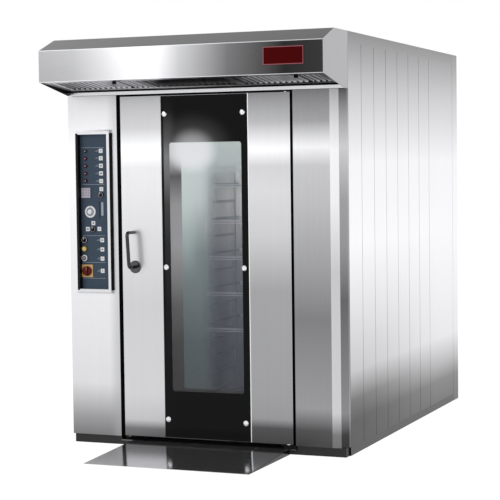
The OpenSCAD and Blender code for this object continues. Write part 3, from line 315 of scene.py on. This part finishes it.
wear("right_side_panels left_side_panels rear_casing", steel("sidePanelSteel", sideTone))
wear("left_post", steel("leftPostSteel", leftPostTone))
wear("right_post", steel("rightPostSteel", rightPostTone, roughness=0.26))
wear("door_skin", steel("doorSteel", doorTone))
wear("hood_shell", steel("hoodSteel", hoodTone, grain="X", uneven=0.03))
wear("edge_rails", steel("railSteel", layTones("side"), grain="Y"))
wear("door_head", steel("headSteel", even(0.86), grain="X", roughness=0.2))
wear("control_bezel", steel("bezelSteel", bezelTone, roughness=0.28))
wear("chamber_walls air_louvres", steel("liningSteel", even(0.74), roughness=0.42))
wear("floor_pan", steel("panSteel", even(0.42), grain="X", roughness=0.35))
wear("ramp",
     steel("rampSteel", rampTone, grain="X", roughness=0.12, uneven=0.02, relief=0.004, metallic=0.93))
wear("hood_filters", steel("filterSteel", filterTone, grain="Y", roughness=0.38))
wear("vent_stack damper_flap roof_deck", steel("deckSteel", even(0.62), roughness=0.45))
wear("rack_frame rack_carrier", coated("rackSteel", 0.62, roughness=0.38, metallic=0.25, mottle=0.05))

# the cross ties carry two painted highlights each, bright and faintly glowing, and the runners stay dull
ties = {"first": 0.640, "pitch": 0.2075, "edge": 0.0035, "half": 0.0094, "middle": 0.0105, "inner": 0.268,
        "above": 0.6, "glow": 0.12}


def runnerPaint():
    paint = Paint("runnerSteel")
    step = paint.single("FRACT", (paint.z - ties["first"]) * (1 / ties["pitch"]) + 0.5)
    off = abs(step - 0.5) * ties["pitch"]
    tie = (off < ties["half"]) * close(paint.x, ties["middle"], ties["inner"]) * (paint.z > ties["above"])
    # painted highlights on the tie's two edges, which also glow
    tieHighlight = tie * (off > ties["edge"])
    fine = paint.noise((1, 1, 1), scale=500, detail=3.0)
    colour = paint.mix(tieHighlight, paint.mix(tie, shade(0.56), shade(0.66)), shade(0.95))
    return paint.surface(colour=paint.tint(colour, 0.97 + fine * 0.06), metallic=0.2,
                         roughness=0.34 + (fine - 0.5) * 0.08,
                         glow=paint.mix(tieHighlight, shade(0.0), shade(0.90)), glowStrength=ties["glow"])


wear("tray_runners", runnerPaint())
wear("rack_shaft castor_fork_left castor_fork_right", steel("machinedSteel", even(0.72), roughness=0.24))
wear("hinge_brackets", coated("blackedSteel", 0.10, roughness=0.5, metallic=0.6, ior=1.2))
wear("door_fittings", steel("studSteel", fittingTone, roughness=0.16, relief=0.02))
# the handle's dark tone is a painted reflection of darker surroundings
wear("door_handle", steel("handleSteel", even(0.26), roughness=0.12, uneven=0.02, relief=0.01))
wear("circulation_fan", steel("workedSteel", even(0.50), grain="X", roughness=0.42))
wear("drive_belts", coated("beltRubber", 0.09, roughness=0.75, mottle=0.2, bumpy=0.3))
wear("rack_pulley drive_pulley shaft_bearing steam_generator",
     coated("castIron", 0.30, roughness=0.55, metallic=0.8, mottle=0.15))
wear("heating_elements",
     coated("heatTintedTube", (0.36, 0.28, 0.23), roughness=0.4, metallic=0.9, mottle=0.25))
wear("frame", coated("primedTube", 0.30, roughness=0.6))
wear("plinth", coated("toeStrip", 0.06, roughness=0.5))
wear("door_seal", coated("sealRubber", 0.07, roughness=0.7, bumpy=0.2))
wear("insulation door_core",
     coated("mineralWool", (0.72, 0.66, 0.45), roughness=0.95, mottle=0.4, size=160, bumpy=0.9))
wear("fan_motor gearmotor", coated("motorPaint", (0.20, 0.34, 0.47), roughness=0.4, coat=0.4))
wear("castor_wheel_left castor_wheel_right rear_wheel_left rear_wheel_right",
     coated("wheelTread", (0.23, 0.20, 0.18), roughness=0.7, mottle=0.12))
print("casing and machinery painted")

# ---- controls ----
wear("control_board", coated("boardFilm", (0.26, 0.31, 0.37), roughness=0.35, mottle=0.04, ior=1.2))
wear("main_switch_plate", coated("switchYellow", (0.84, 0.68, 0.44), roughness=0.4))
wear("sign_plate", coated("signEnamel", (0.30, 0.02, 0.03), roughness=0.6, mottle=0.08, ior=1.1))

# turned controls: rings from the middle outwards as (radius, colour), and a pointer as
# (half its width, where it starts, colour)
controls = {
    "timer_dial": {"at": (-0.704, 1.331), "middle": 0.93,
                   "rings": [(0.0150, (0.55, 0.58, 0.62)), (0.0245, 0.93)],
                   "pointer": (0.0012, 0.024, 0.25), "roughness": 0.35},
    "light_selector": {"at": (-0.635, 1.428), "middle": 0.08, "rings": [(0.0125, 0.66), (0.0148, 0.10)],
                       "pointer": (0.0011, 0.001, 0.90), "roughness": 0.3},
    "fan_selector": {"at": (-0.688, 1.232), "middle": 0.08, "rings": [(0.0125, 0.60), (0.0148, 0.10)],
                     "pointer": (0.0011, 0.001, 0.90), "roughness": 0.3},
    "steam_selector": {"at": (-0.744, 1.170), "middle": 0.08, "rings": [(0.0140, 0.72), (0.0168, 0.12)],
                       "pointer": (0.0013, 0.001, 0.90), "roughness": 0.3},
    "start_button": {"at": (-0.744, 1.119), "middle": (0.86, 0.79, 0.50),
                     "rings": [(0.0135, (0.44, 0.38, 0.20))], "pointer": None, "roughness": 0.3},
    "stop_button": {"at": (-0.744, 1.066), "middle": 0.60, "rings": [(0.0060, 0.30), (0.0122, 0.92)],
                    "pointer": None, "roughness": 0.3},
    # the main switch knob's pointer is a painted highlight along its grip
    "main_switch_knob": {"at": (-0.728, 0.992), "middle": (0.36, 0.07, 0.05),
                         "rings": [(0.0260, (0.26, 0.05, 0.04))],
                         "pointer": (0.0016, 0.004, (0.72, 0.48, 0.46)), "roughness": 0.28},
}


def controlPaint(name, look):
    paint = Paint(name + "Face")
    across = paint.x - look["at"][0]
    up = paint.z - look["at"][1]
    out = paint.single("SQRT", across * across + up * up)
    colour = shade(look["middle"])
    for radius, tone in look["rings"]:
        colour = paint.mix(out > radius, colour, shade(tone))
    if look["pointer"]:
        halfWide, start, tone = look["pointer"]
        colour = paint.mix((abs(across) < halfWide) * (up > start), colour, shade(tone))
    fine = paint.noise((1, 1, 1), scale=700, detail=3.0)
    return paint.surface(colour=paint.tint(colour, 0.97 + fine * 0.06), ior=1.25,
                         roughness=look["roughness"] + (fine - 0.5) * 0.08, normal=paint.bump(fine, 0.06))


for name, look in controls.items():
    wear(name, controlPaint(name, look))

# display: a pale face with a fine grid
display = {"left": -0.758, "low": 1.410, "cell": 0.0145, "bar": 0.14, "face": (0.70, 0.69, 0.74),
           "grid": (0.55, 0.54, 0.60)}


def displayPaint():
    paint = Paint("displayFace")
    bars = []
    for along, start in ((paint.x, display["left"]), (paint.z, display["low"])):
        bars.append(paint.repeat(along - start, display["cell"]) < display["bar"])
    grid = bars[0].maths("MAXIMUM", bars[0], bars[1])
    fine = paint.noise((1, 1, 1), scale=600, detail=3.0)
    colour = paint.mix(grid, shade(display["face"]), shade(display["grid"]))
    return paint.surface(colour=paint.tint(colour, 0.98 + fine * 0.04), roughness=0.3 + (fine - 0.5) * 0.06)


wear("timer_display", displayPaint())


# signal lamps: the top one green and the others red, each with a painted highlight at the crown
lamps = {"greenAbove": 1.656, "crownFrom": -0.8742, "green": (0.05, 0.18, 0.16), "red": (0.20, 0.05, 0.10),
         "crown": (0.90, 0.72, 0.76)}


def lensPaint():
    paint = Paint("lampLens")
    colour = paint.mix(paint.z > lamps["greenAbove"], shade(lamps["red"]), shade(lamps["green"]))
    # painted highlight at the crown of each lens
    crown = paint.y < lamps["crownFrom"]
    colour = paint.mix(crown * 0.5, colour, shade(lamps["crown"]))
    return paint.surface(colour=colour, roughness=0.22, ior=1.3, glow=colour, glowStrength=0.05)


wear("indicator_lamps", lensPaint())

# ribbed tube of the chamber lamp
tube = {"ribs": (3, 3, 220), "colour": (0.98, 0.96, 0.90), "light": (1.0, 0.98, 0.94), "power": 28.0}


def lampGlass():
    paint = Paint("lampTube")
    ribs = paint.noise(tube["ribs"])
    return paint.surface(colour=shade(tube["colour"]), roughness=0.3 + (ribs - 0.5) * 0.1,
                         glow=paint.tint(shade(tube["light"]), 0.9 + ribs * 0.2), glowStrength=tube["power"])


wear("chamber_lamp", lampGlass())

# ---- door glass: black enamel round a hazy clear window ----
glass = {"left": -0.197, "right": 0.237, "low": 0.322, "high": 1.717, "corner": 0.014,
         "jamb": -0.125, "sill": 0.340, "openRight": 1.0, "openHigh": 3.0, "haze": 0.20, "ior": 1.2,
         "glowX": -0.058, "glowZ": 1.672, "glowWide": 0.125, "glowTall": 0.105, "glowFade": (0.15, 1.9),
         "nearFade": (0.0, 2.1), "nearShare": 0.6, "farFade": (0.0, 6.0), "farShare": 0.07,
         "edge": -0.232, "marginBefore": 0.010, "marginAfter": 0.050,
         "clear": (-0.02, 0.10), "pale": (-0.10, -0.01), "paleHeight": (0.9, 1.2), "paleShare": 0.35,
         "thick": 0.48, "thicker": 0.16, "thickHeight": (1.15, 1.40),
         "upper": 0.42, "upperHeight": (1.50, 1.62)}
# tones along the height: painted reflections in the haze on the left and right, the opening's edge with
# painted light and shade, and a painted reflection down the enamel's margin
glassTones = {
    "left": [(0.32, (0.40, 0.43, 0.44)), (0.6, (0.42, 0.46, 0.48)), (1.1, (0.58, 0.63, 0.64)),
             (1.40, (0.84, 0.88, 0.88)), (1.72, (0.94, 0.97, 0.97))],
    "right": [(0.32, (0.40, 0.42, 0.46)), (0.6, (0.42, 0.44, 0.49)), (1.1, (0.54, 0.56, 0.61)),
              (1.45, (0.74, 0.77, 0.80)), (1.72, (0.90, 0.95, 0.94))],
    "jamb": [(0.32, 0.31), (0.60, 0.35), (0.82, 0.46), (1.15, 0.72), (1.37, 0.66), (1.53, 0.42),
             (1.64, 0.86), (1.72, 0.92)],
    "margin": [(0.30, 0.03), (0.80, 0.08), (1.15, 0.17), (1.37, 0.27), (1.64, 0.54), (1.74, 0.36),
               (1.90, 0.10), (1.98, 0.04)],
}


# 1 inside an upright rectangle with round corners
def roundedWindow(paint, left, right, low, high, corner):
    beyond = []
    for along, start, end in ((paint.x, left, right), (paint.z, low, high)):
        past = abs(along - (start + end) / 2) - ((end - start) / 2 - corner)
        beyond.append(past.maths("MAXIMUM", past, 0.0))
    return (beyond[0] * beyond[0] + beyond[1] * beyond[1]) < corner * corner


def doorGlassPaint():
    paint = Paint("enamelledGlass")
    inside = roundedWindow(paint, glass["left"], glass["right"], glass["low"], glass["high"], glass["corner"])
    opening = roundedWindow(paint, glass["jamb"], glass["openRight"], glass["sill"], glass["openHigh"],
                            glass["corner"])
    drift = paint.noise((1, 1, 1), scale=3)
    # the haze is thick on the left and clears to the right, where the rack shows through; its tones, paler
    # upwards, are a painted reflection
    laid = {key: paint.tones(paint.z, stops) for key, stops in glassTones.items()}
    clearing = paint.fade(paint.x, *glass["clear"])
    tone = paint.mix(clearing, laid["left"], laid["right"])
    # a painted sheen, paler beside the opening's left edge
    pale = (1 - paint.fade(paint.x, *glass["pale"])) * paint.fade(paint.z, *glass["paleHeight"])
    tone = paint.mix(pale * glass["paleShare"], tone, shade((0.88, 0.95, 0.93)))
    # outside the inner opening the pane shows the opening's edge, painted with light and shade that change
    # with height
    tone = paint.mix(opening, laid["jamb"], tone)
    # soft light box seen in the pane
    wide = (paint.x - glass["glowX"]) * (1 / glass["glowWide"])
    tall = (paint.z - glass["glowZ"]) * (1 / glass["glowTall"])
    spread = wide * wide + tall * tall
    glow = 1 - paint.fade(spread, *glass["glowFade"])
    tone = paint.mix(glow, tone, shade((0.98, 0.99, 1.0)))
    upper = paint.fade(paint.z, *glass["upperHeight"])
    thick = glass["thick"] + paint.fade(paint.z, *glass["thickHeight"]) * glass["thicker"]
    haze = glass["haze"] + (1 - clearing) * thick + upper * clearing * glass["upper"] + (drift - 0.5) * 0.08
    haze = haze + glow * (1 - haze)
    alpha = 1 - inside * (1 - haze)
    # painted reflection on the enamel: greyed over the window, more weakly further out, and down its left
    # margin
    near = 1 - paint.fade(spread, *glass["nearFade"])
    far = 1 - paint.fade(spread, *glass["farFade"])
    enamel = paint.mix(far * far * glass["farShare"], shade(0.02), shade(0.95))
    enamel = paint.mix(near * near * glass["nearShare"], enamel, shade(0.86))
    inward = paint.fade(paint.x, glass["left"] - glass["marginBefore"], glass["left"] + glass["marginAfter"])
    beside = (paint.x > glass["edge"]) * (1 - inward)
    enamel = paint.mix(beside, enamel, laid["margin"])
    colour = paint.mix(inside, enamel, tone)
    return paint.surface(colour=colour, roughness=0.10 + (drift - 0.5) * 0.03, alpha=alpha, ior=glass["ior"])


def innerGlassPaint():
    paint = Paint("innerPane")
    film = paint.noise((1, 1, 1), scale=5)
    return paint.surface(colour=shade((0.72, 0.78, 0.80)), roughness=0.08 + film * 0.04,
                         alpha=0.10 + film * 0.08)


wear("door_glass", doorGlassPaint())
wear("inner_glass", innerGlassPaint())
print("controls and glass painted")


# ---- new pieces ----
def calm():
    bpy.ops.object.select_all(action="DESELECT")


# a box with eased edges between two corners
def slab(name, low, high, edge=0.001):
    calm()
    middle = [(a + b) / 2 for a, b in zip(low, high)]
    bpy.ops.mesh.primitive_cube_add(size=1, location=middle)
    piece = bpy.context.object
    piece.name = name
    piece.scale = [b - a for a, b in zip(low, high)]
    bpy.ops.object.transform_apply(location=True, rotation=True, scale=True)
    ease = piece.modifiers.new("ease", "BEVEL")
    ease.width = edge
    ease.segments = 2
    bpy.ops.object.modifier_apply(modifier=ease.name)
    return piece


def join(name, pieces):
    calm()
    for piece in pieces:
        piece.select_set(True)
    bpy.context.view_layer.objects.active = pieces[0]
    bpy.ops.object.join()
    joined = bpy.context.object
    joined.name = name
    return joined


def finish(piece, material, body="cabinet"):
    piece.data.materials.clear()
    piece.data.materials.append(material)
    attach(piece, body)


# dark strips that close the gaps round the door, as (left, low, right, high)
gapStrip = {"front": -0.866, "back": -0.736,
            "sides": {"Left": (-0.5248, 0.056, -0.509, 1.979), "Right": (0.5300, 0.056, 0.5398, 1.979),
                      "Head": (-0.5248, 1.9835, 0.4680, 1.9915)}}
lintel = {"low": (-0.830, -0.8735, 2.0105), "high": (0.830, -0.8715, 2.0175), "edge": 0.0005}
rubber = coated("gapRubber", 0.02, roughness=0.7, bumpy=0.2, ior=1.1)
strips = [slab("gapStrip" + name, (x0, gapStrip["front"], z0), (x1, gapStrip["back"], z1))
          for name, (x0, z0, x1, z1) in gapStrip["sides"].items()]
finish(join("doorGapStrips", strips), rubber)
finish(slab("lintelStrip", lintel["low"], lintel["high"], lintel["edge"]), rubber)

# pink border round the bare sign plate
sign = {"low": (0.502, 2.1065), "high": (0.727, 2.2005), "width": 0.004, "back": -1.2025, "thick": 0.0008,
        "edge": 0.0003}


def border(name, low, high, width):
    front, back = sign["back"] - sign["thick"], sign["back"]
    sides = {"Low": (low[0], low[1], high[0], low[1] + width),
             "High": (low[0], high[1] - width, high[0], high[1]),
             "Left": (low[0], low[1] + width, low[0] + width, high[1] - width),
             "Right": (high[0] - width, low[1] + width, high[0], high[1] - width)}
    return join(name, [slab(name + side, (x0, front, z0), (x1, back, z1), sign["edge"])
                       for side, (x0, z0, x1, z1) in sides.items()])


finish(border("signBorder", sign["low"], sign["high"], sign["width"]),
       coated("borderPink", (0.62, 0.32, 0.36), roughness=0.4))

# prints on the control board: white tiles with a plain mark, divider lines, scales
board = {"front": -0.8635, "lift": 0.0004, "lineLeft": -0.758, "lineRight": -0.612,
         "tileSize": 0.024, "tileColumn": -0.632,
         "tiles": [1.678, 1.636, 1.593, 1.550, 1.506, 1.460, 1.169, 1.116, 1.063, 0.993],
         "sideTiles": [(-0.687, 1.266), (-0.723, 1.232), (-0.649, 1.233)],
         "lines": [1.697, 1.487, 1.194, 1.041, 0.950],
         "darkStrip": (-0.650, -0.641, 1.294, 1.390), "paleStrip": (-0.635, -0.621, 1.309, 1.385),
         "markSizes": [(0.011, 0.003), (0.003, 0.011), (0.008, 0.008), (0.012, 0.006)], "markLift": 0.0002,
         "lineLift": 0.0003, "lineHalf": 0.0008, "noteLeft": -0.668, "noteRight": -0.640, "noteStep": 0.006,
         "noteLow": -0.003, "noteHigh": -0.0015, "tileEdge": 0.0002, "fineEdge": 0.0001}


# a print between two places on the board, raised by its lift from a depth
def printed(name, x0, x1, z0, z1, depth, lift, edge):
    return slab(name, (x0, depth - lift, z0), (x1, depth, z1), edge)


tiles, marks, lines = [], [], []
face = board["front"]
tileFace = face - board["lift"]
half = board["tileSize"] / 2
for number, (x, z) in enumerate([(board["tileColumn"], z) for z in board["tiles"]] + board["sideTiles"]):
    tiles.append(printed("tile", x - half, x + half, z - half, z + half,
                         face, board["lift"], board["tileEdge"]))
    wide, tall = board["markSizes"][number % len(board["markSizes"])]
    marks.append(printed("mark", x - wide / 2, x + wide / 2, z - tall / 2, z + tall / 2,
                         tileFace, board["markLift"], board["fineEdge"]))
for z in board["lines"]:
    lines.append(printed("line", board["lineLeft"], board["lineRight"],
                         z - board["lineHalf"], z + board["lineHalf"],
                         face, board["lineLift"], board["fineEdge"]))
for z in board["tiles"][:5] + board["tiles"][6:]:
    for step in (0.0, board["noteStep"]):
        lines.append(printed("note", board["noteLeft"] + step, board["noteRight"],
                             z + board["noteLow"] + step, z + board["noteHigh"] + step,
                             face, board["lineLift"], board["fineEdge"]))
finish(join("boardTiles", tiles), coated("printWhite", 0.90, roughness=0.4, mottle=0.02))
finish(join("boardMarks", marks), coated("printDark", (0.20, 0.24, 0.30), roughness=0.4))
finish(join("boardLines", lines), coated("printPale", (0.66, 0.70, 0.75), roughness=0.4))
# painted shade: a black strip right of the dial, where a raised part shades the board; a pale strip next to
# it
for name, tone in (("darkStrip", 0.02), ("paleStrip", (0.62, 0.66, 0.72))):
    strip = printed(name, *board[name], face, board["lift"], board["tileEdge"])
    finish(strip, coated(name + "Print", tone, roughness=0.4))
print("strips, border and prints made")

# ---- floor, light and camera ----
bpy.ops.mesh.primitive_plane_add(size=60, location=(0, 0, -0.001))
floor = bpy.context.object
floor.name = "studioFloor"


studio = {"white": (1, 1, 1, 1), "roomLight": 0.75, "floorTone": (0.86, 0.86, 0.86, 1), "floorWhite": 1.12,
          "floorShare": 0.84}


def floorPaint():
    paint = Paint("studioFloor")
    plain = paint.make("ShaderNodeBsdfDiffuse", None, {"Color": studio["floorTone"]})
    white = paint.make("ShaderNodeEmission", None,
                       {"Color": studio["white"], "Strength": studio["floorWhite"]})
    both = paint.make("ShaderNodeMixShader", None, [paint.lookedAt() * studio["floorShare"], plain, white])
    paint.tree.links.new(both.socket, paint.out.inputs[0])
    return paint.material


floor.data.materials.append(floorPaint())
world = bpy.data.worlds.new("studio")
bpy.context.scene.world = world
sky = Paint("studio", world, "ShaderNodeOutputWorld")
room = sky.make("ShaderNodeBackground", None, {"Color": studio["white"], "Strength": studio["roomLight"]})
backdrop = sky.make("ShaderNodeBackground", None, {"Color": studio["white"], "Strength": 1.0})
chosen = sky.make("ShaderNodeMixShader", None, [sky.lookedAt(), room, backdrop])
sky.tree.links.new(chosen.socket, sky.out.inputs[0])


def softBox(name, place, target, size, power):
    data = bpy.data.lights.new(name, "AREA")
    data.shape = "RECTANGLE"
    data.size, data.size_y = size
    data.energy = power
    lamp = bpy.data.objects.new(name, data)
    bpy.context.scene.collection.objects.link(lamp)
    lamp.location = place
    lamp.rotation_euler = (Vector(target) - Vector(place)).to_track_quat("-Z", "Y").to_euler()


softBox("keyBox", (-3.5, -6.5, 4.5), (0, 0, 1.2), (3.0, 3.0), 75)
softBox("sideBox", (6.0, -1.0, 4.0), (0.8, 0.3, 1.2), (3.0, 3.0), 45)

view = {"place": (3.578, -8.9605, 1.58), "yaw": 22.17, "pitch": 3.01, "roll": -0.70, "lens": 114.66}
yaw, pitch, roll = [math.radians(view[k]) for k in ("yaw", "pitch", "roll")]
ahead = Vector((-math.sin(yaw) * math.cos(pitch), math.cos(yaw) * math.cos(pitch), -math.sin(pitch)))
side = Vector((math.cos(yaw), math.sin(yaw), 0))
upward = side.cross(ahead)
sideRolled = math.cos(roll) * side + math.sin(roll) * upward
upRolled = -math.sin(roll) * side + math.cos(roll) * upward
cameraData = bpy.data.cameras.new("camera")
cameraData.lens = view["lens"]
cameraData.sensor_width = 36
camera = bpy.data.objects.new("camera", cameraData)
bpy.context.scene.collection.objects.link(camera)
turned = Matrix((sideRolled, upRolled, -ahead)).transposed().to_4x4()
camera.matrix_world = Matrix.Translation(Vector(view["place"])) @ turned
bpy.context.scene.camera = camera
bpy.context.scene.view_settings.view_transform = "Standard"
print("stage set")
